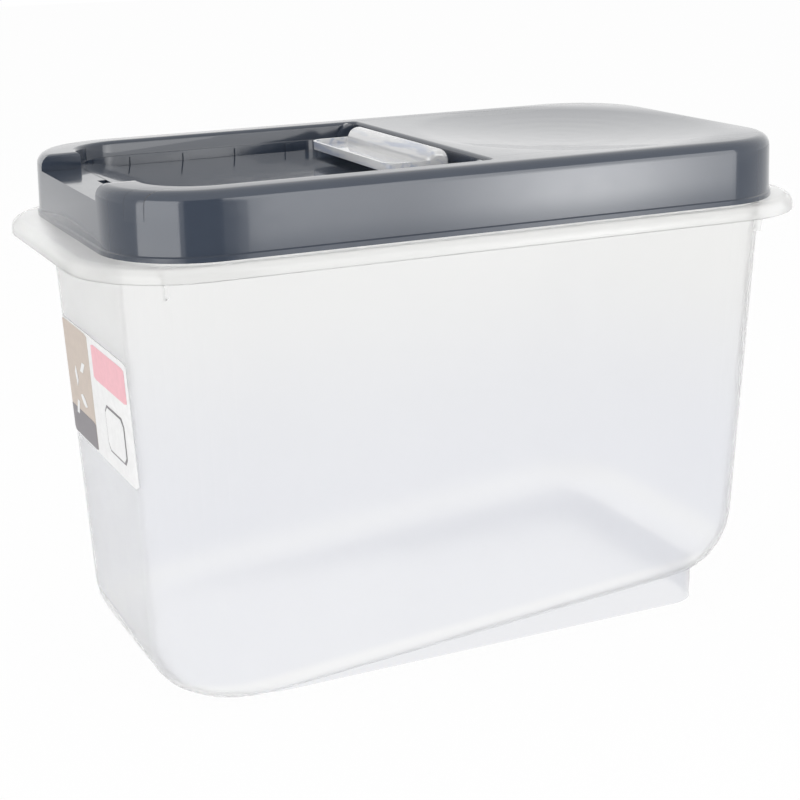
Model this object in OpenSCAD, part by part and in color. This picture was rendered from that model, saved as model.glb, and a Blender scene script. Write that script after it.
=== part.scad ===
// Rice storage bin with a flip-up hatch in its lid.
// X runs along the bin, the hatch is on the -X half, and Z = 0 is the standing plane.

/* [Tub] */
// Height of the rim flange's top face above the standing plane
tub_h = 242.5; // [200:0.5:280]
// Length of the tub body at its bottom
body_bot_l = 357.4; // [280:0.2:400]
// Width of the tub body at its bottom
body_bot_w = 187; // [140:1:220]
// Outward draft of the tub walls, mm per mm of height
body_draft = 0.042; // [0:0.002:0.1]
// Radius of the tub's upright corners
body_r = 44; // [20:1:50]
// Wall thickness of the tub
tub_wall = 2.0; // [1.2:0.1:3.5]
// Rise of the floor towards the closed end, degrees
floor_slope = 4.6; // [0:0.1:8]
// Length of the rounding between floor and end walls
edge_end = 21; // [12:1:30]
// Width of the rounding between floor and side walls
edge_side = 6; // [4:1:20]
// Height of the rounding between floor and walls
edge_h = 27; // [8:1:34]
// Height of the collar that stands inside the lid
collar_h = 9; // [4:0.5:14]

/* [Rim flange] */
// Overall length over the two carrying rims
rim_l = 421.5; // [390:0.5:450]
// Overall width of the rim
rim_w = 227.5; // [222:0.5:260]
// Corner radius of the rim
rim_r = 57; // [30:1:70]
// Height of the turned-down rim skirt
rim_h = 8.4; // [4:0.1:14]
// Thickness of the rim
rim_t = 2.0; // [1.2:0.1:3]
// Rounding along the rim's top edge
rim_edge = 6; // [2.5:0.5:8]
// Depth of the gusset ribs below the rim's top face
gusset_h = 18.5; // [10:0.5:25]
// Reach of the gusset ribs under the rim, out from the tub's corner
gusset_l = 9; // [5:0.5:12]
// Reach of the gusset ribs at their lower end
gusset_tip = 2.7; // [1:0.1:6]
// Thickness of the gusset ribs
gusset_t = 1.6; // [1:0.1:3]
// Angle of the gusset ribs to the long direction, degrees
gusset_a = 52; // [30:1:60]

/* [Foot] */
// Distance from the bin's middle to the foot's closed end
foot_x1 = 153.6; // [120:0.2:165]
// Distance from the bin's middle to the foot's low end
foot_x0 = 152; // [130:1:165]
// Width of the foot at its low end
foot_w0 = 169; // [130:1:174]
// Width of the foot at its closed end
foot_w1 = 156.3; // [130:0.1:174]
// Corner radius of the foot at its low end
foot_r0 = 40; // [20:1:60]
// Corner radius of the foot at its closed end
foot_r1 = 20; // [8:1:60]
// Wall thickness of the foot
foot_wall = 2.0; // [1.2:0.1:3.5]

/* [Lid frame] */
// Length of the lid
lid_l = 390; // [340:1:420]
// Width of the lid
lid_w = 219; // [190:1:240]
// Corner radius of the lid
lid_r = 50; // [30:1:60]
// Height of the lid from its lower edge to its flat top
lid_h = 34.2; // [26:0.2:44]
// Wall thickness of the lid
lid_wall = 2.2; // [1.5:0.1:3.5]
// Rounding along the lid's top edge
lid_edge = 6.5; // [3:0.5:10]
// Step of the band along the lid's lower edge
band_step = 1.0; // [0.4:0.1:2]
// Height of the band along the lid's lower edge
band_h = 3.0; // [2:0.5:6]
// Gap between the lid's lower edge and the rim it rests on
seat_gap = 0.3; // [0.1:0.05:1]
// Depth of the shallow dish in the closed half
dish_d = 5; // [2:0.5:8]
// Length of the dish
dish_l = 172; // [120:1:180]
// Width of the dish
dish_w = 196; // [120:1:205]

// Gap between the lid's inner ring and the tub's collar
seal_fit = 0.8; // [0.3:0.1:1.5]
// Thickness of the lid's inner ring
seal_t = 2.4; // [1.2:0.1:3.5]

/* [Hatch well] */
// Distance from the bin's middle to the well's pouring end
well_x0 = 171.3; // [150:0.1:180]
// Distance from the bin's middle to the well's hinge end
well_x1 = 8.2; // [0:0.1:30]
// Width of the well
well_w = 180.6; // [150:0.2:190]
// Corner radius of the well at the pouring end
well_r0 = 30; // [15:1:40]
// Corner radius of the well at the hinge end
well_r1 = 2.5; // [1.5:0.5:6]
// Depth of the well below the lid's flat top
well_d = 17; // [15:0.1:24]
// Depth of the pouring notch and of the hatch's land below the flat top
notch_d = 8.5; // [6:0.1:10]
// Width of the pouring notch
notch_w = 110; // [80:1:130]
// Distance from the bin's middle to the lid opening's pouring end
open_x0 = 148; // [130:1:150]
// Distance from the bin's middle to the lid opening's hinge end
open_x1 = 22; // [18:1:40]
// Width of the lid opening under the hatch
open_w = 158; // [120:1:160]
// Corner radius of the lid opening
open_r = 16; // [6:1:30]
// Gap round the hatch in its well
hatch_gap = 0.4; // [0.2:0.05:1]

/* [Flip hatch] */
// Thickness of the hatch
hatch_t = 2.2; // [1.5:0.1:3]
// Depth of the tray sunk in the hatch
tray_d = 5.5; // [3:0.1:8]
// Length of the ramp from the land down to the tray
ramp_l = 26; // [12:1:40]
// Position of the tray's hinge end along the bin
tray_x1 = -20.5; // [-40:0.5:-10]
// Pitch of the small ribs on the tray's long walls
rib_pitch = 31.9; // [20:0.1:34]
// Distance from the bin's middle to the first small rib
rib_x0 = 132.6; // [120:0.2:138]
// Width of the small ribs
rib_w = 3.4; // [1.5:0.1:6]
// Width of the groove along the foot of the tray's long walls
groove_w = 2.0; // [1:0.1:4]
// Depth of the groove
groove_d = 1.2; // [0.4:0.1:1.4]
// Width of the latch tongue at the pouring end
latch_w = 9; // [5:0.5:20]
// Reach of the latch tongue beyond the hatch
latch_l = 3.4; // [2:0.1:4]
// Clearance round the latch tongue in its slot
latch_fit = 1.5; // [0.5:0.1:2]
// Distance of the hinge axis from the bin's middle
pivot_x = 2.5; // [0:0.1:8]
// Depth of the hinge axis below the lid's flat top
pivot_d = 4.2; // [3:0.1:8]
// Diameter of the hinge pins
pin_d = 4.0; // [3:0.1:5]
// Radial running clearance of the hinge pins
pin_fit = 0.05; // [0.01:0.01:0.1]

/* [Clear scoop] */
// Width of the scoop
scoop_w = 111; // [80:0.2:130]
// Length of the scoop's tray
scoop_l = 37; // [25:0.5:45]
// Width of the scoop's rounded grip
grip_l = 13.8; // [10:0.2:18]
// Height of the scoop's rounded grip
grip_h = 10.3; // [8:0.1:16]
// Rounding of the grip's ends
grip_edge = 3.5; // [2.5:0.1:5]
// Wall thickness of the scoop
scoop_t = 1.6; // [1:0.1:2.5]
// Height of the rim round the scoop's tray
scoop_rim = 4.6; // [2:0.1:6]
// Corner radius of the scoop's tray
scoop_r = 8.5; // [4:0.5:14]
// Distance of the grip's outer side from the bin's middle
scoop_x1 = 1.2; // [-2:0.1:2]
// Gap between the scoop and the hatch it rests on
scoop_gap = 0.3; // [0.1:0.05:0.6]
// Height of the two lugs that keep the scoop in place
lug_h = 2; // [1:0.1:4]
// Length of the lugs, along the bin
lug_l = 5; // [3:0.5:8]
// Width of the lugs
lug_w = 10; // [5:0.5:20]
// Distance between the lugs
lug_pitch = 60; // [40:1:80]

/* [Hidden] */
slope_t = tan(floor_slope);
floor_x = -body_bot_l / 2 + edge_end;
floor_rise = (body_bot_l - edge_end) * slope_t;
lid_z = tub_h + seat_gap;
top_z = lid_z + lid_h;
well_z = top_z - well_d;
land_z = top_z - notch_d;
tray_z = land_z - tray_d;
pivot_z = top_z - pivot_d;
hatch_w = well_w - 2 * hatch_gap;
ear_r = pin_d / 2 + 1.8;
hatch_x0 = -well_x0 + hatch_gap;
hatch_x1 = well_x1 - 0.6;
tray_w = hatch_w - 2 * hatch_t;
scoop_z = land_z + scoop_gap;
collar_l = body_bot_l + 2 * body_draft * tub_h;
collar_w = body_bot_w + 2 * body_draft * tub_h;

// Rounded rectangle as a list of points, with its own radius at the -X and +X corners
function outline(x0, x1, w, r0, r1, n = 10) = [
  for (q = [0:3], i = [0:n])
    let (
      a = 90 * (q + i / n),
      r = (q == 0 || q == 3) ? r1 : r0,
      cx = (q == 0 || q == 3) ? x1 - r : x0 + r,
      cy = (q < 2) ? w / 2 - r : r - w / 2
    )
    [cx + r * cos(a), cy + r * sin(a)]
];

function ring(x0, x1, w, r0, r1, z, n = 10) = [
  for (p = outline(x0, x1, w, r0, r1, n)) [p[0], p[1], z]
];

// Centred ring, inset by i all round
function centred(l, w, r, i, z, n = 10) = ring(-l / 2 + i, l / 2 - i, w - 2 * i, r - i, r - i, z, n);

// Ring of the tub's wall over its sloping floor, ix and iy in from the walls and h above the floor
function floor_ring(ix, iy, h, r) = [
  for (p = outline(
      -body_bot_l / 2 - body_draft * h + ix,
      body_bot_l / 2 + body_draft * (h + floor_rise) - ix,
      body_bot_w + 2 * body_draft * h - 2 * iy,
      r, r))
    [p[0], p[1] * (1 + 2 * body_draft * (p[0] - floor_x) * slope_t / body_bot_w), (p[0] - floor_x) * slope_t + h]
];

// Solid lofted through a list of rings that have the same number of points
module loft(rings) {
  n = len(rings[0]);
  m = len(rings);
  sides = [
    for (k = [0:m - 2], i = [0:n - 1])
      let (a = k * n + i, b = k * n + (i + 1) % n, c = b + n, d = a + n)
      each [[a, d, c], [a, c, b]]
  ];
  polyhedron(
    points = [for (r = rings) each r],
    faces = concat([[for (i = [0:n - 1]) i]], sides, [[for (i = [n - 1:-1:0]) (m - 1) * n + i]])
  );
}

// Tub body with its sloping floor, drawn in by inset from the outer faces
module tub_body(inset, top) {
  l = body_bot_l + 2 * body_draft * top;
  w = body_bot_w + 2 * body_draft * top;
  loft(concat(
    [for (a = [0:18:90])
      floor_ring(
        inset + (edge_end - inset) * (1 - sin(a)),
        inset + (edge_side - inset) * (1 - sin(a)),
        inset + (edge_h - inset) * (1 - cos(a)),
        body_r - inset - (edge_side - inset) * (1 - sin(a)))],
    [centred(l, w, body_r, inset, top)]
  ));
}

// Upright rib between the rim and one corner of the tub, sx and sy choose the corner
module gusset(sx, sy) {
  translate([sx * (collar_l / 2 - body_r), sy * (collar_w / 2 - body_r), tub_h])
    rotate([90, 0, atan2(sy * sin(gusset_a), sx * cos(gusset_a))])
      translate([0, 0, -gusset_t / 2])
        linear_extrude(gusset_t)
          polygon([
            [body_r - 3, 0.2 - rim_t],
            [body_r + gusset_l, 0.2 - rim_t],
            [body_r + gusset_l, -rim_t - 1],
            [body_r + gusset_tip + 1.5, -rim_h],
            [body_r + gusset_tip, -gusset_h],
            [body_r - 3, -gusset_h]
          ]);
}

module rim_flange() {
  inner = rim_edge - rim_t;
  difference() {
    loft(concat(
      [centred(rim_l, rim_w, rim_r, 0, tub_h - rim_h)],
      [for (a = [0:18:90])
        centred(rim_l, rim_w, rim_r, rim_edge * (1 - cos(a)), tub_h - rim_edge + rim_edge * sin(a))]
    ));
    loft(concat(
      [centred(rim_l, rim_w, rim_r, rim_t, tub_h - rim_h - 1)],
      [for (a = [0:30:90])
        centred(rim_l, rim_w, rim_r, rim_t + inner * (1 - cos(a)), tub_h - rim_edge + inner * sin(a))]
    ));
  }
}

// Plan of the foot at height z, drawn in by i, narrower towards the closed end
function foot_ring(i, z) = [
  for (p = outline(-foot_x0 + i, foot_x1 - i, foot_w0 - 2 * i, foot_r0 - i, foot_r1 - i))
    [p[0], p[1] * (1 + (foot_w1 / foot_w0 - 1) * (p[0] + foot_x0) / (foot_x0 + foot_x1)), z]
];

module foot() {
  difference() {
    loft([foot_ring(0, 0), foot_ring(0, floor_rise)]);
    loft([foot_ring(foot_wall, -1), foot_ring(foot_wall, floor_rise + 1)]);
  }
}

module tub() {
  color([0.86, 0.89, 0.93, 0.55])
    difference() {
      union() {
        tub_body(0, tub_h - 0.5);
        loft([
          centred(collar_l, collar_w, body_r, 0, tub_h - 1),
          centred(collar_l, collar_w, body_r, 0, tub_h + collar_h)
        ]);
        rim_flange();
        foot();
        for (sx = [-1, 1], sy = [-1, 1])
          gusset(sx, sy);
      }
      tub_body(tub_wall, tub_h + collar_h + 1);
    }
}

// The lid's outer form
module lid_outer() {
  band = lid_z + band_h;
  side = top_z - lid_edge;
  loft(concat(
    [
      centred(lid_l, lid_w, lid_r, 0, lid_z, 12),
      centred(lid_l, lid_w, lid_r, 0, band - 0.6, 12),
      centred(lid_l, lid_w, lid_r, band_step, band, 12)
    ],
    [for (a = [0:18:90])
      centred(lid_l, lid_w, lid_r, band_step + 0.6 + lid_edge * (1 - cos(a)), side + lid_edge * sin(a), 12)]
  ));
}

// The hollow under the lid's top
module lid_hollow() {
  i = band_step + 0.6 + lid_wall;
  e = lid_edge - lid_wall;
  side = top_z - lid_edge;
  loft(concat(
    [
      centred(lid_l, lid_w, lid_r, lid_wall, lid_z - 1, 12),
      centred(lid_l, lid_w, lid_r, i - 0.6, lid_z + band_h + 1, 12)
    ],
    [for (a = [0:30:90])
      centred(lid_l, lid_w, lid_r, i + e * (1 - cos(a)), side + e * sin(a), 12)]
  ));
}

// Space of the hatch well, grown by o, with a soft edge where it opens in the top
module well(o, z0, z1, edge) {
  loft(concat(
    [ring(-well_x0 - o, well_x1 + o, well_w + 2 * o, well_r0 + o, well_r1 + o, z0)],
    edge > 0
      ? [for (a = [0:30:90])
          let (g = o + edge * (1 - cos(a)))
          ring(-well_x0 - g, well_x1 + g, well_w + 2 * g, well_r0 + g, well_r1 + g, z1 - edge + edge * sin(a))]
      : [ring(-well_x0 - o, well_x1 + o, well_w + 2 * o, well_r0 + o, well_r1 + o, z1)]
  ));
}

// Lens-shaped space of the dish in the closed half
module dish(drop) {
  k = dish_w / 2;
  r = (k * k + dish_d * dish_d) / (2 * dish_d);
  translate([(well_x1 + lid_l / 2) / 2 - 2, 0, top_z - drop])
    scale([dish_l / dish_w, 1, 1])
      rotate_extrude($fn = 72)
        polygon(concat(
          [for (t = [0:1 / 6:1]) [k * t, r - dish_d - sqrt(r * r - k * k * t * t)]],
          [[k, 20], [0, 20]]
        ));
}

module socket_boss(s) {
  translate([pivot_x, s * (well_w / 2 + 0.4), pivot_z])
    rotate([-90 * s, 0, 0])
      cylinder(h = 5, r = pin_d / 2 + 2, $fn = 48);
}

module socket(s) {
  translate([pivot_x, s * (well_w / 2 - 3), pivot_z])
    rotate([-90 * s, 0, 0])
      cylinder(h = 6, r = pin_d / 2 + pin_fit, $fn = 48);
}

module lid_frame() {
  color([0.24, 0.27, 0.30])
    difference() {
      union() {
        difference() {
          lid_outer();
          lid_hollow();
        }
        intersection() {
          lid_outer();
          union() {
            well(lid_wall, well_z - lid_wall, top_z - 0.5, 0);
            translate([-lid_l / 2, -notch_w / 2 - lid_wall, land_z - lid_wall])
              cube([lid_l / 2 - well_x0 + 1, notch_w + 2 * lid_wall, notch_d + 1]);
            difference() {
              dish(lid_wall);
              translate([-lid_l, -lid_w, top_z - 25])
                cube([lid_l + well_x1, 2 * lid_w, 40]);
            }
            seal_ring();
          }
        }
        socket_boss(1);
        socket_boss(-1);
      }
      difference() {
        well(0, well_z, top_z, 2);
        hatch_rest();
      }
      well(2, top_z - 0.01, top_z + 5, 0);
      hatch_opening();
      dish(0);
      notch();
      socket(1);
      socket(-1);
      // slot for the hatch's latch tongue
      translate([hatch_x0 - latch_l - latch_fit, -latch_w / 2 - latch_fit, land_z - lid_wall - 1])
        cube([latch_l + latch_fit + 2, latch_w + 2 * latch_fit, lid_wall + 3]);
    }
}

// Ledge that the closed hatch rests on at its pouring end
module hatch_rest() {
  for (s = [-1, 1])
    translate([-well_x0 - 1, s * 32 - 18, well_z - 1])
      cube([4, 36, land_z - hatch_t - 0.2 - well_z + 1]);
}

module hatch_opening() {
  loft([
    ring(-open_x0, -open_x1, open_w, open_r, open_r, well_z - lid_wall - 1),
    ring(-open_x0, -open_x1, open_w, open_r, open_r, well_z + 1)
  ]);
}

// Ring under the lid that locates it inside the tub's collar
module seal_ring() {
  l = collar_l - 2 * (tub_wall + seal_fit);
  w = collar_w - 2 * (tub_wall + seal_fit);
  r = body_r - tub_wall - seal_fit;
  difference() {
    loft([centred(l, w, r, 0.8, tub_h + 3), centred(l, w, r, 0, tub_h + 6), centred(l, w, r, 0, top_z - 1)]);
    loft([centred(l, w, r, seal_t, tub_h + 2), centred(l, w, r, seal_t, top_z)]);
  }
}

module notch() {
  translate([-lid_l / 2 - 1, 0, land_z])
    rotate([90, 0, 90])
      linear_extrude(lid_l / 2 - well_x0 + 6)
        polygon([
          [-notch_w / 2, 0],
          [notch_w / 2, 0],
          [notch_w / 2, notch_d - 2],
          [notch_w / 2 + 0.6, notch_d - 0.6],
          [notch_w / 2 + 2, notch_d + 0.1],
          [notch_w / 2 + 2, notch_d + 5],
          [-notch_w / 2 - 2, notch_d + 5],
          [-notch_w / 2 - 2, notch_d + 0.1],
          [-notch_w / 2 - 0.6, notch_d - 0.6],
          [-notch_w / 2, notch_d - 2]
        ]);
}

// Side profile of the hatch plate: land, ramp, tray and hinge end
module hatch_profile() {
  polygon([
    [hatch_x0, land_z],
    [hatch_x0, land_z - hatch_t],
    [hatch_x0 + 3, land_z - hatch_t],
    [hatch_x0 + 3 + ramp_l, tray_z - hatch_t],
    [tray_x1 + hatch_t, tray_z - hatch_t],
    [tray_x1 + hatch_t, land_z - hatch_t],
    [hatch_x1, land_z - hatch_t],
    [hatch_x1, land_z]
  ]);
}

module hatch_blank() {
  r0 = well_r0 - hatch_gap;
  r1 = well_r1 - hatch_gap;
  intersection() {
    translate([0, hatch_w / 2, 0])
      rotate([90, 0, 0])
        linear_extrude(hatch_w)
          hatch_profile();
    loft([
      ring(hatch_x0, hatch_x1, hatch_w, r0, r1, tray_z - 10),
      ring(hatch_x0, hatch_x1, hatch_w, r0, r1, land_z + 10)
    ]);
  }
}

// Space of the tray sunk in the hatch
module tray_space() {
  x0 = hatch_x0 + 3;
  intersection() {
    translate([0, tray_w / 2, 0])
      rotate([90, 0, 0])
        linear_extrude(tray_w)
          polygon([
            [x0, land_z],
            [x0 + ramp_l, tray_z],
            [tray_x1, tray_z],
            [tray_x1, land_z + 1],
            [x0, land_z + 1]
          ]);
    loft([
      ring(x0 - 1, tray_x1, tray_w, well_r0 - 3, 6, tray_z - 1),
      ring(x0 - 1, tray_x1, tray_w, well_r0 - 3, 6, land_z + 2)
    ]);
  }
}

module ear(s) {
  y0 = s > 0 ? hatch_w / 2 - 3.2 : -hatch_w / 2;
  translate([0, y0, 0])
    rotate([-90, 0, 0])
      linear_extrude(3.2)
        union() {
          translate([pivot_x, -pivot_z])
            circle(r = ear_r, $fn = 40);
          polygon([
            [pivot_x - ear_r - 5, -land_z + 1],
            [pivot_x + ear_r, -land_z + 1],
            [pivot_x + ear_r, -pivot_z],
            [pivot_x - ear_r * 0.82, -pivot_z - ear_r * 0.57]
          ]);
        }
  translate([pivot_x, s * (hatch_w / 2 - 1), pivot_z])
    rotate([-90 * s, 0, 0])
      cylinder(h = 1 + hatch_gap + 2.4, r = pin_d / 2, $fn = 48);
}

module flip_hatch() {
  color([0.25, 0.28, 0.31])
    union() {
      difference() {
        hatch_blank();
        tray_space();
        // narrow groove along the foot of the tray's long walls
        for (s = [-1, 1])
          translate([hatch_x0 + 3 + ramp_l, s * (tray_w - groove_w) / 2 - groove_w / 2, tray_z - groove_d])
            cube([tray_x1 - hatch_x0 - ramp_l - 11, groove_w, groove_d + 0.3]);
      }
      // small upright ribs on the tray's long walls
      for (s = [-1, 1], k = [0:3])
        translate([k * rib_pitch - rib_x0 - rib_w / 2, s * (tray_w / 2 - 0.4) - 0.7, tray_z - 1.5])
          cube([rib_w, 1.4, tray_d + 0.4]);
      ear(1);
      ear(-1);
      // latch tongue that sits in the slot of the pouring notch
      translate([hatch_x0 - latch_l, -latch_w / 2, land_z - hatch_t])
        cube([latch_l + 1, latch_w, 1.2]);
      // low lugs that keep the scoop in place
      for (s = [-1, 1])
        translate([scoop_x1 - (grip_l + lug_l) / 2, s * lug_pitch / 2 - lug_w / 2, land_z - 0.5])
          cube([lug_l, lug_w, lug_h + 0.5]);
    }
}

// Rounded grip of the scoop, inset by i
module grip(i) {
  r = grip_l / 2 - i;
  e = grip_edge - i;
  floor_z = scoop_z - (i > 0 ? 1 : 0);
  intersection() {
    hull() {
      for (s = [-1, 1]) {
        translate([scoop_x1 - grip_l / 2, s * (scoop_w / 2 - i - e), scoop_z + grip_h - i - r])
          rotate([-90 * s, 0, 0])
            rotate_extrude($fn = 40)
              polygon(concat([[0, 0]], [for (a = [0:18:90]) [r - e + e * cos(a), e * sin(a)]], [[0, e]]));
        for (t = [-1, 1])
          translate([scoop_x1 - grip_l / 2 + t * (r - e), s * (scoop_w / 2 - i - e), floor_z])
            cylinder(h = 3, r = e, $fn = 32);
      }
    }
    translate([scoop_x1 - grip_l, -scoop_w, floor_z])
      cube([2 * grip_l, 2 * scoop_w, 2 * grip_h]);
  }
}

module scoop() {
  x0 = scoop_x1 - scoop_l;
  xm = scoop_x1 - grip_l / 2;
  xi = scoop_x1 - grip_l + 0.2;
  wi = scoop_w - 2 * scoop_t;
  color([0.86, 0.89, 0.92, 0.45])
    union() {
      difference() {
        union() {
          loft([
            ring(x0, xm, scoop_w, scoop_r, 2, scoop_z),
            ring(x0, xm, scoop_w, scoop_r, 2, scoop_z + scoop_rim)
          ]);
          grip(0);
        }
        loft([
          ring(x0 + scoop_t, xi, wi, scoop_r - scoop_t, 1, scoop_z + scoop_t),
          ring(x0 + scoop_t, xi, wi, scoop_r - scoop_t, 1, scoop_z + scoop_rim + 1)
        ]);
        grip(scoop_t);
      }
      // cross ribs inside the hollow grip
      intersection() {
        grip(scoop_t / 2);
        for (s = [-1, 1], k = [0:2])
          translate([scoop_x1 - grip_l, s * (scoop_w / 2 - 4.5 - 3.5 * k) - 0.5, scoop_z])
            cube([grip_l, 1, grip_h]);
      }
    }
}

tub();
lid_frame();
flip_hatch();
scoop();
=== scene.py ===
"""Looks for a rice storage bin with a flip-up hatch: materials, sticker, studio and camera."""

import math

import bpy
from mathutils import Matrix, Vector


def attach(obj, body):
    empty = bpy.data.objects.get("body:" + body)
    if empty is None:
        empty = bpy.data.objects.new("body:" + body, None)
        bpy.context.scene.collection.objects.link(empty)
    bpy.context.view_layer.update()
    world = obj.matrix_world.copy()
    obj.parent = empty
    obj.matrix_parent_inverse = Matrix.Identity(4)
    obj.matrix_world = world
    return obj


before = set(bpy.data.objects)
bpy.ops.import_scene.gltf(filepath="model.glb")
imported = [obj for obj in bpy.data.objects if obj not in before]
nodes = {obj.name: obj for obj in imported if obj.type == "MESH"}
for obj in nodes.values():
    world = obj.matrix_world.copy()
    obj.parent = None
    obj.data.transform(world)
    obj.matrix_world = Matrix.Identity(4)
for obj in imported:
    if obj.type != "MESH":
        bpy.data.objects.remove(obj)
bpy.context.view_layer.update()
scene = bpy.context.scene

# The tub, in metres: half sizes of the body at the standing plane, its corner radius and its walls' draft
BODY_HALF = 0.1787
SIDE_HALF = 0.0935
CORNER = 0.044
DRAFT = 0.042
# The tub's sloping floor: rise over run along X, and height of its underside at X = 0
FLOOR_SLOPE = 0.0805
FLOOR_LEVEL = 0.0127

# The lid's well: height of the hatch's tray, and how far out its side walls stand
TRAY_LEVEL = 0.262
WELL_INNER = 0.0828
WELL_OUTER = 0.0925
WELL_LEAN = 0.12

# The sticker on the tub's low end: its heights, half its width, and the layers' heights off the wall
STICKER_LOW, STICKER_HIGH = 0.118, 0.186
STICKER_HALF = 0.0635
STICKER_LIFT = 0.0001
STICKER_THICK = 0.00025
PRINT_LIFT = 0.0004
PRINT_THICK = 0.0001
LOW_PRINT_LIFT = 0.00052
TOP_PRINT_LIFT = 0.0006
COLUMN = 0.004


def srgb(r, g, b):
    """Linear colour of an 8-bit sRGB colour."""

    def lin(c):
        c /= 255
        return c / 12.92 if c <= 0.04045 else ((c + 0.055) / 1.055) ** 2.4

    return (lin(r), lin(g), lin(b), 1.0)


# Shading: the CAD nodes get smooth normals up to a crease angle, on a modifier


def smooth_group(name, crease_deg):
    """Node group that merges doubled points and shades smooth, apart from edges sharper than the crease angle."""
    group = bpy.data.node_groups.new(name, "GeometryNodeTree")
    group.interface.new_socket("Geometry", in_out="INPUT", socket_type="NodeSocketGeometry")
    group.interface.new_socket("Geometry", in_out="OUTPUT", socket_type="NodeSocketGeometry")
    n, link = group.nodes, group.links
    entry, leave = n.new("NodeGroupInput"), n.new("NodeGroupOutput")
    unnamed = n.new("GeometryNodeRemoveAttribute")
    unnamed.inputs["Name"].default_value = "custom_normal"
    merge = n.new("GeometryNodeMergeByDistance")
    merge.inputs["Distance"].default_value = 2e-6
    faces = n.new("GeometryNodeSetShadeSmooth")
    edges = n.new("GeometryNodeSetShadeSmooth")
    edges.domain = "EDGE"
    edges.inputs["Shade Smooth"].default_value = False
    angle = n.new("GeometryNodeInputMeshEdgeAngle")
    above = n.new("FunctionNodeCompare")
    above.operation = "GREATER_THAN"
    above.inputs["B"].default_value = math.radians(crease_deg)
    link.new(entry.outputs[0], unnamed.inputs["Geometry"])
    link.new(unnamed.outputs[0], merge.inputs["Geometry"])
    link.new(merge.outputs[0], faces.inputs["Geometry"])
    link.new(faces.outputs[0], edges.inputs["Geometry"])
    link.new(angle.outputs["Unsigned Angle"], above.inputs["A"])
    link.new(above.outputs[0], edges.inputs["Selection"])
    link.new(edges.outputs[0], leave.inputs[0])
    return group


def smooth(obj, crease_deg=32):
    mod = obj.modifiers.new("smooth", "NODES")
    mod.node_group = smooth_group("smooth_" + obj.name, crease_deg)


# Shader nodes


def principled(name, **values):
    """New material with its shader's sockets set, as (material, nodes, links, shader)."""
    mat = bpy.data.materials.new(name)
    mat.use_nodes = True
    shader = mat.node_tree.nodes["Principled BSDF"]
    for key, value in values.items():
        shader.inputs[key.replace("_", " ")].default_value = value
    return mat, mat.node_tree.nodes, mat.node_tree.links, shader


def white_glow(nodes_, level):
    glow = nodes_.new("ShaderNodeEmission")
    glow.inputs["Color"].default_value = (1, 1, 1, 1)
    glow.inputs["Strength"].default_value = level
    return glow


def noise(nodes_, links_, scale, detail, stretch=None):
    """Noise over the object's own coordinates, stretched along the axes whose factor is under 1."""
    vector = nodes_.new("ShaderNodeTexCoord").outputs["Object"]
    if stretch:
        mapping = nodes_.new("ShaderNodeMapping")
        mapping.inputs["Scale"].default_value = stretch
        links_.new(vector, mapping.inputs["Vector"])
        vector = mapping.outputs["Vector"]
    tex = nodes_.new("ShaderNodeTexNoise")
    tex.inputs["Scale"].default_value = scale
    tex.inputs["Detail"].default_value = detail
    links_.new(vector, tex.inputs["Vector"])
    return tex.outputs["Fac"]


def ramp(nodes_, links_, fac, low, high, start=0.3, end=0.7):
    mix = nodes_.new("ShaderNodeValToRGB")
    for element, position, colour in zip(mix.color_ramp.elements, (start, end), (low, high)):
        element.position = position
        element.color = colour
    links_.new(fac, mix.inputs["Fac"])
    return mix.outputs["Color"]


def step(nodes_, links_, value, low, high, start, end, kind="LINEAR"):
    """Number that goes from start to end as value goes from low to high."""
    node = nodes_.new("ShaderNodeMapRange")
    node.interpolation_type = kind
    for key, number in (("From Min", low), ("From Max", high), ("To Min", start), ("To Max", end)):
        node.inputs[key].default_value = number
    links_.new(value, node.inputs["Value"])
    return node.outputs["Result"]


def over_noise(nodes_, links_, fac, low, high):
    """Number between low and high that follows a noise."""
    return step(nodes_, links_, fac, 0.3, 0.7, low, high)


def between(nodes_, links_, value, low, high, start=0.0, end=1.0):
    """Smooth step from start to end as value goes from low to high."""
    return step(nodes_, links_, value, low, high, start, end, "SMOOTHSTEP")


def bump(nodes_, links_, fac, shader, distance, strength):
    node = nodes_.new("ShaderNodeBump")
    node.inputs["Distance"].default_value = distance
    node.inputs["Strength"].default_value = strength
    links_.new(fac, node.inputs["Height"])
    links_.new(node.outputs["Normal"], shader.inputs["Normal"])
    return node


def axes(nodes_, links_, vector=None):
    """The parts of a vector, by default of the object's coordinates, as three outputs."""
    split = nodes_.new("ShaderNodeSeparateXYZ")
    links_.new(vector or nodes_.new("ShaderNodeTexCoord").outputs["Object"], split.inputs[0])
    return split.outputs


def sums(nodes_, links_, operation, *values):
    """Math node whose inputs are numbers or other nodes' outputs."""
    node = nodes_.new("ShaderNodeMath")
    node.operation = operation
    for socket, value in zip(node.inputs, values):
        if isinstance(value, (int, float)):
            socket.default_value = value
        else:
            links_.new(value, socket)
    return node.outputs[0]


def blend(nodes_, links_, fac, low, high):
    """Mix of two colours, each a constant or another node's output."""
    mix = nodes_.new("ShaderNodeMix")
    mix.data_type = "RGBA"
    links_.new(fac, mix.inputs["Factor"])
    for socket, value in ((mix.inputs["A"], low), (mix.inputs["B"], high)):
        if isinstance(value, tuple):
            socket.default_value = value
        else:
            links_.new(value, socket)
    return mix.outputs["Result"]


# Materials


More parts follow.
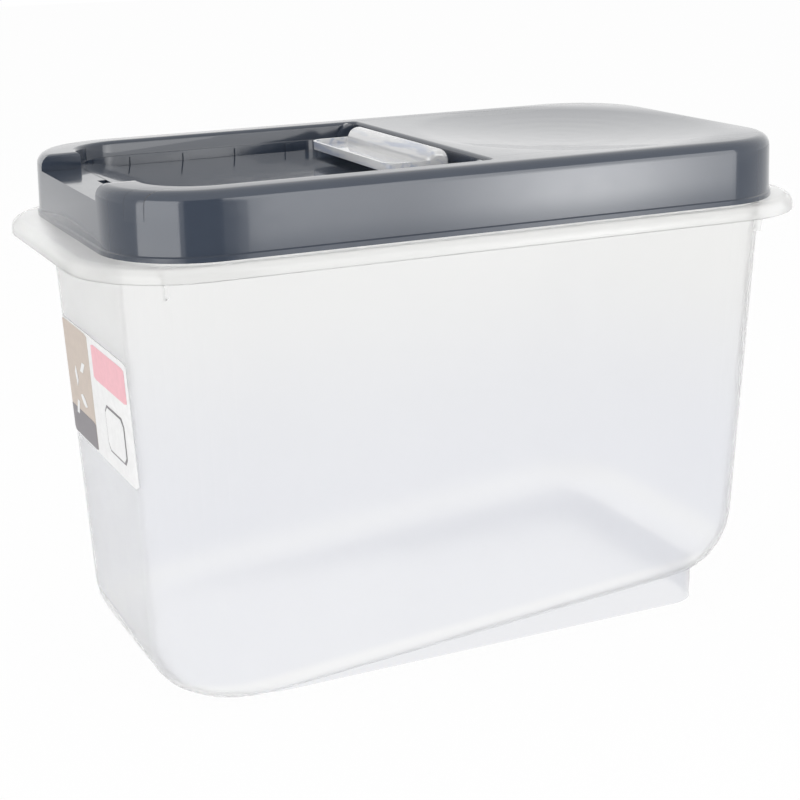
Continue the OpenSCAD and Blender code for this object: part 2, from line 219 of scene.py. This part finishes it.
def tub_material():
    """Translucent shell with painted light: a painted lavender tint low down and neutral above, a painted
    highlight along the floor's edge, painted light on the floor plate, and painted shade in the foot.
    """
    mat, n, l, sh = principled(
        "translucent_pp",
        IOR=1.06,
        Alpha=0.53,
        Transmission_Weight=1.0,
        Coat_Weight=1.0,
        Coat_Roughness=0.06,
        Coat_IOR=1.4,
    )
    x, y, z = axes(n, l)
    grain = noise(n, l, 9.0, 4.0)
    # Painted light: the walls go from a lavender tint low down to neutral higher up, blended by height, as light
    # falls on the shell. The grain noise is random tone.
    low = ramp(n, l, grain, (0.80, 0.81, 0.853, 1), (0.825, 0.835, 0.873, 1))
    high = ramp(n, l, grain, (0.87, 0.87, 0.86, 1), (0.89, 0.89, 0.88, 1))
    wall = blend(n, l, between(n, l, z, 0.08, 0.22), low, high)
    above = sums(n, l, "SUBTRACT", z, sums(n, l, "MULTIPLY_ADD", x, FLOOR_SLOPE, FLOOR_LEVEL))
    # Painted highlight: the walls go pale near the floor, along the rounded edge where they meet it.
    wall = blend(n, l, between(n, l, above, 0.008, 0.014), (0.95, 0.95, 0.94, 1), wall)
    # Painted light: the floor plate is made lighter, against the shade of the space under it.
    floor_painted_light = blend(n, l, between(n, l, above, 0.0025, 0.004), (0.965, 0.97, 0.985, 1), wall)
    # Painted shade: the foot below the floor is darker, standing in for the shadow under the tub.
    foot_painted_shade = between(n, l, above, -0.0015, -0.0005)
    l.new(blend(n, l, foot_painted_shade, (0.75, 0.76, 0.80, 1), floor_painted_light), sh.inputs["Base Color"])
    fine = noise(n, l, 60.0, 2.0)
    l.new(over_noise(n, l, fine, 0.36, 0.46), sh.inputs["Roughness"])
    bump(n, l, grain, sh, 0.0004, 0.2)
    return mat


def well_walls(n, l):
    """Normals for the well's side walls, which lean outwards a little."""
    x, y, z = axes(n, l)
    side = sums(n, l, "ABSOLUTE", y)
    inner = between(n, l, side, WELL_INNER, WELL_INNER + 0.0002)
    outer = between(n, l, side, WELL_OUTER, WELL_OUTER + 0.0005, 1.0, 0.0)
    wall = sums(n, l, "MULTIPLY", inner, outer)
    wall = sums(n, l, "MULTIPLY", wall, between(n, l, z, TRAY_LEVEL, TRAY_LEVEL + 0.0001))
    rise = sums(n, l, "MULTIPLY", sums(n, l, "SUBTRACT", TRAY_LEVEL, z), WELL_LEAN)
    lean = n.new("ShaderNodeBump")
    lean.inputs["Distance"].default_value = 1.0
    l.new(sums(n, l, "MULTIPLY", rise, wall), lean.inputs["Height"])
    return lean.outputs["Normal"]


def lid_material():
    """Glossy slate grey with a faint mottle."""
    mat, n, l, sh = principled("slate_gloss", IOR=1.5, Coat_Weight=0.5, Coat_Roughness=0.03)
    cloud = noise(n, l, 14.0, 3.0)
    l.new(ramp(n, l, cloud, srgb(52, 60, 73), srgb(57, 65, 78)), sh.inputs["Base Color"])
    fine = noise(n, l, 90.0, 3.0)
    l.new(over_noise(n, l, fine, 0.09, 0.15), sh.inputs["Roughness"])
    skin = bump(n, l, cloud, sh, 0.0004, 0.12)
    l.new(well_walls(n, l), skin.inputs["Normal"])
    return mat


def clear_material():
    """Clear plastic with painted refraction: bluish and white streaks along the scoop's length."""
    mat, n, l, sh = principled(
        "clear_ps",
        Roughness=0.05,
        IOR=1.6,
        Alpha=0.95,
        Transmission_Weight=0.35,
        Coat_Weight=1.0,
        Coat_Roughness=0.02,
    )
    # Painted refraction: the colour is streaked bluish and white along the length, standing in for light bent
    # through the clear plastic.
    refraction_streak = noise(n, l, 190.0, 3.0, (1.0, 0.12, 1.0))
    painted_refraction = ramp(n, l, refraction_streak, (0.66, 0.71, 0.84, 1), (1.0, 1.0, 1.0, 1), 0.36, 0.5)
    l.new(painted_refraction, sh.inputs["Base Color"])
    l.new(over_noise(n, l, noise(n, l, 40.0, 2.0), 0.04, 0.08), sh.inputs["Roughness"])
    return mat


def paper(name, colour):
    """Printed paper with a fine grain."""
    mat, n, l, sh = principled(name, Roughness=0.45)
    grain = noise(n, l, 220.0, 4.0)
    dark = tuple(c * 0.93 for c in colour[:3]) + (1,)
    l.new(ramp(n, l, grain, dark, colour), sh.inputs["Base Color"])
    bump(n, l, grain, sh, 0.00005, 0.3)
    return mat


def paint(obj, mat):
    obj.data.materials.clear()
    obj.data.materials.append(mat)


for name in nodes:
    smooth(nodes[name])
slate = lid_material()
paint(nodes["tub"], tub_material())
paint(nodes["lid_frame"], slate)
paint(nodes["flip_hatch"], slate)
paint(nodes["scoop"], clear_material())


# Generic sticker on the end wall under the pouring notch


def on_wall(y, z, lift):
    """Point of the end wall at height z, y measured along the surface, lift off it."""
    x = -(BODY_HALF + DRAFT * z)
    flat = SIDE_HALF + DRAFT * z - CORNER
    over = abs(y) - flat
    if over <= 0:
        return (x - lift, y, z)
    turn = over / CORNER
    side = math.copysign(flat + (CORNER + lift) * math.sin(turn), y)
    return (x + CORNER - (CORNER + lift) * math.cos(turn), side, z)


def cut(outline, y):
    """Lowest and highest z of a convex outline of (y, z) at y."""
    hits = []
    for (ya, za), (yb, zb) in zip(outline, outline[1:] + outline[:1]):
        if (ya - y) * (yb - y) <= 0 and ya != yb:
            hits.append(za + (zb - za) * (y - ya) / (yb - ya))
    return min(hits), max(hits)


def wall_piece(name, outline, lift, thick, mat):
    """Thin piece on the low end wall: outline is a convex list of (y, z), lift is its underside's height."""
    start, end = min(y for y, z in outline), max(y for y, z in outline)
    cols = max(2, int((end - start) / COLUMN))
    verts, faces = [], []
    for i in range(cols + 1):
        y = start + (end - start) * i / cols
        y = min(max(y, start + 1e-5), end - 1e-5)
        low, high = cut(outline, y)
        verts += [on_wall(y, low, lift), on_wall(y, high, lift)]
        verts += [on_wall(y, high, lift + thick), on_wall(y, low, lift + thick)]
    for i in range(cols):
        for k in range(4):
            faces.append((4 * i + k, 4 * i + (k + 1) % 4, 4 * i + 4 + (k + 1) % 4, 4 * i + 4 + k))
    faces += [(3, 2, 1, 0), (4 * cols, 4 * cols + 1, 4 * cols + 2, 4 * cols + 3)]
    mesh = bpy.data.meshes.new(name)
    mesh.from_pydata(verts, [], faces)
    mesh.update()
    obj = bpy.data.objects.new(name, mesh)
    scene.collection.objects.link(obj)
    paint(obj, mat)
    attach(obj, "tub")
    return obj


def round_rect(y0, y1, z0, z1, r, steps=5):
    pts = []
    corners = ((y1 - r, z1 - r, 0), (y0 + r, z1 - r, 90), (y0 + r, z0 + r, 180), (y1 - r, z0 + r, 270))
    for cy, cz, start in corners:
        for i in range(steps + 1):
            a = math.radians(start + 90 * i / steps)
            pts.append((cy + r * math.cos(a), cz + r * math.sin(a)))
    return pts


def ellipse(cy, cz, a, b, turn, steps=20):
    t = math.radians(turn)
    pts = []
    for i in range(steps):
        u, v = a * math.cos(2 * math.pi * i / steps), b * math.sin(2 * math.pi * i / steps)
        pts.append((cy + u * math.cos(t) - v * math.sin(t), cz + u * math.sin(t) + v * math.cos(t)))
    return pts


white = paper("sticker_white", srgb(244, 244, 244))
pink = paper("sticker_pink", srgb(245, 186, 195))
sand = paper("sticker_sand", srgb(206, 192, 180))
stone = paper("sticker_stone", srgb(132, 128, 132))

ground = round_rect(-STICKER_HALF, STICKER_HALF, STICKER_LOW, STICKER_HIGH, 0.002)
wall_piece("sticker_ground", ground, STICKER_LIFT, STICKER_THICK, white)
wall_piece("sticker_band", round_rect(-0.060, 0.002, 0.163, 0.1825, 0.001), PRINT_LIFT, PRINT_THICK, pink)
wall_piece("sticker_block", round_rect(0.010, 0.0625, 0.119, 0.185, 0.001), PRINT_LIFT, PRINT_THICK, sand)
low_block = round_rect(0.010, 0.0625, 0.119, 0.135, 0.001)
wall_piece("sticker_block_low", low_block, LOW_PRINT_LIFT, PRINT_THICK / 2, stone)

grains = ((0.030, 0.143, 25), (0.041, 0.155, 80), (0.026, 0.163, -35), (0.045, 0.136, -60))
for k, (cy, cz, turn) in enumerate(grains):
    outline = ellipse(cy, cz, 0.0068, 0.0026, turn)
    wall_piece(f"sticker_grain_{k}", outline, TOP_PRINT_LIFT, PRINT_THICK, white)
wall_piece("sticker_ring", round_rect(-0.050, -0.014, 0.127, 0.153, 0.004), PRINT_LIFT, PRINT_THICK, stone)
ring_in = round_rect(-0.0488, -0.0152, 0.1282, 0.1518, 0.0035)
wall_piece("sticker_ring_in", ring_in, TOP_PRINT_LIFT, PRINT_THICK, white)


# Studio


def either(nodes_, links_, *kinds):
    """Fac that is 1 for the named kinds of ray."""
    path = nodes_.new("ShaderNodeLightPath")
    fac = path.outputs[kinds[0]]
    for kind in kinds[1:]:
        fac = sums(nodes_, links_, "MAXIMUM", fac, path.outputs[kind])
    return fac


def mixed(nodes_, links_, fac, first, second):
    mix = nodes_.new("ShaderNodeMixShader")
    for value, socket in zip((fac, first, second), mix.inputs):
        links_.new(value, socket)
    return mix.outputs[0]


def studio_world(strength, mirrored):
    """White world: one level for its light, one for reflections, and plain white for the camera."""
    world = bpy.data.worlds.new("studio")
    scene.world = world
    world.use_nodes = True
    n, l = world.node_tree.nodes, world.node_tree.links
    shades = [n["Background"], n.new("ShaderNodeBackground"), n.new("ShaderNodeBackground")]
    for shade, level in zip(shades, (strength, mirrored, 1.0)):
        shade.inputs["Color"].default_value = (1, 1, 1, 1)
        shade.inputs["Strength"].default_value = level
    light, gloss, plain = (shade.outputs[0] for shade in shades)
    lit = mixed(n, l, either(n, l, "Is Glossy Ray"), light, gloss)
    seen = mixed(n, l, either(n, l, "Is Camera Ray", "Is Transmission Ray"), lit, plain)
    l.new(seen, n["World Output"].inputs["Surface"])


def staged(name, corners, mat):
    """Flat object of four corners, which isn't part of the bin."""
    mesh = bpy.data.meshes.new(name)
    mesh.from_pydata(corners, [], [(0, 1, 2, 3)])
    obj = bpy.data.objects.new(name, mesh)
    scene.collection.objects.link(obj)
    obj.data.materials.append(mat)
    return obj


def floor(half, seen, mirrored):
    """White floor that keeps a faint shadow: seen and mirrored are how far it shows as plain white."""
    mat, n, l, sh = principled("floor", Base_Color=(0.95, 0.95, 0.95, 1), Roughness=0.9, Specular_IOR_Level=0.0)
    plain = sums(n, l, "MULTIPLY", either(n, l, "Is Camera Ray", "Is Transmission Ray"), seen)
    shine = sums(n, l, "MULTIPLY", either(n, l, "Is Glossy Ray"), mirrored)
    fac = sums(n, l, "MAXIMUM", plain, shine)
    surface = mixed(n, l, fac, sh.outputs[0], white_glow(n, 1.0).outputs[0])
    l.new(surface, n["Material Output"].inputs["Surface"])
    staged("floor", [(-half, -half, 0), (half, -half, 0), (half, half, 0), (-half, half, 0)], mat)


def foot_glow(n, l, round_glow):
    """Strength of a softbox that is dimmer at its foot, and fades from its middle if round_glow is set."""
    geo = n.new("ShaderNodeNewGeometry")
    x, y, z = axes(n, l, geo.outputs["Position"])
    strength = between(n, l, z, 0.07, 0.19, 0.45, 1.0)
    if round_glow:
        dist = n.new("ShaderNodeVectorMath")
        dist.operation = "DISTANCE"
        dist.inputs[1].default_value = (0.5, 0.5, 0.0)
        l.new(geo.outputs["Parametric"], dist.inputs[0])
        fade = between(n, l, dist.outputs["Value"], 0.0, 0.5, 1.0, 0.0)
        strength = sums(n, l, "MULTIPLY", strength, fade)
    return strength


def softbox(name, at, facing, width, height, level, dim_foot=False, round_glow=False):
    """Area light of a given radiance, which the camera doesn't see."""
    data = bpy.data.lights.new(name, "AREA")
    data.shape = "RECTANGLE"
    data.size, data.size_y = width, height
    data.energy = level * math.pi * width * height
    if dim_foot:
        data.use_nodes = True
        n, l = data.node_tree.nodes, data.node_tree.links
        l.new(foot_glow(n, l, round_glow), n["Emission"].inputs["Strength"])
    obj = bpy.data.objects.new(name, data)
    scene.collection.objects.link(obj)
    obj.location = at
    obj.rotation_euler = Vector(facing).to_track_quat("-Z", "Y").to_euler()
    obj.visible_camera = False
    obj.visible_transmission = False
    return obj


def dark_card(x0, x1, y, top, level):
    """Dark card between the two softboxes, which only reflections see."""
    mat = bpy.data.materials.new("dark_card")
    mat.use_nodes = True
    n, l = mat.node_tree.nodes, mat.node_tree.links
    l.new(white_glow(n, level).outputs[0], n["Material Output"].inputs["Surface"])
    card = staged("dark_card", [(x0, y, 0), (x1, y, 0), (x1, y, top), (x0, y, top)], mat)
    for ray in ("camera", "diffuse", "transmission", "shadow", "volume_scatter"):
        setattr(card, "visible_" + ray, False)


studio_world(0.45, 1.0)
floor(6.0, 0.97, 0.65)
softbox("key", (0.635, -1.108, 0.44), (0, 1, 0), 0.97, 0.84, 2.45, dim_foot=True)
softbox("key_core", (0.67, -1.107, 0.18), (0, 1, 0), 0.60, 0.9, 4.6, dim_foot=True, round_glow=True)
softbox("left", (-1.148, -0.615, 0.44), (0.824, 0.566, 0), 1.12, 0.84, 2.35)
softbox("top", (-0.1, 0, 2.2), (0, 0, -1), 2.4, 2.4, 1.0).visible_glossy = False
dark_card(-0.72, 0.14, -1.12, 0.95, 0.2)


# Camera, at the photograph's viewing angle: where it stands, and the picture's axes

STAND = Vector((-0.41723, -0.91205, 0.41533))
RIGHT = Vector((0.90898, -0.41626, -0.02197))
DOWN = Vector((-0.13491, -0.2439, -0.96037))
AHEAD = Vector((0.3944, 0.87592, -0.27786))

cam_data = bpy.data.cameras.new("camera")
cam_data.sensor_width = 36
cam_data.lens = 80.35
cam_data.clip_start = 0.05
cam = bpy.data.objects.new("camera", cam_data)
scene.collection.objects.link(cam)
cam.matrix_world = Matrix.Translation(STAND) @ Matrix((RIGHT, -DOWN, -AHEAD)).transposed().to_4x4()
scene.camera = cam

scene.view_settings.view_transform = "Standard"
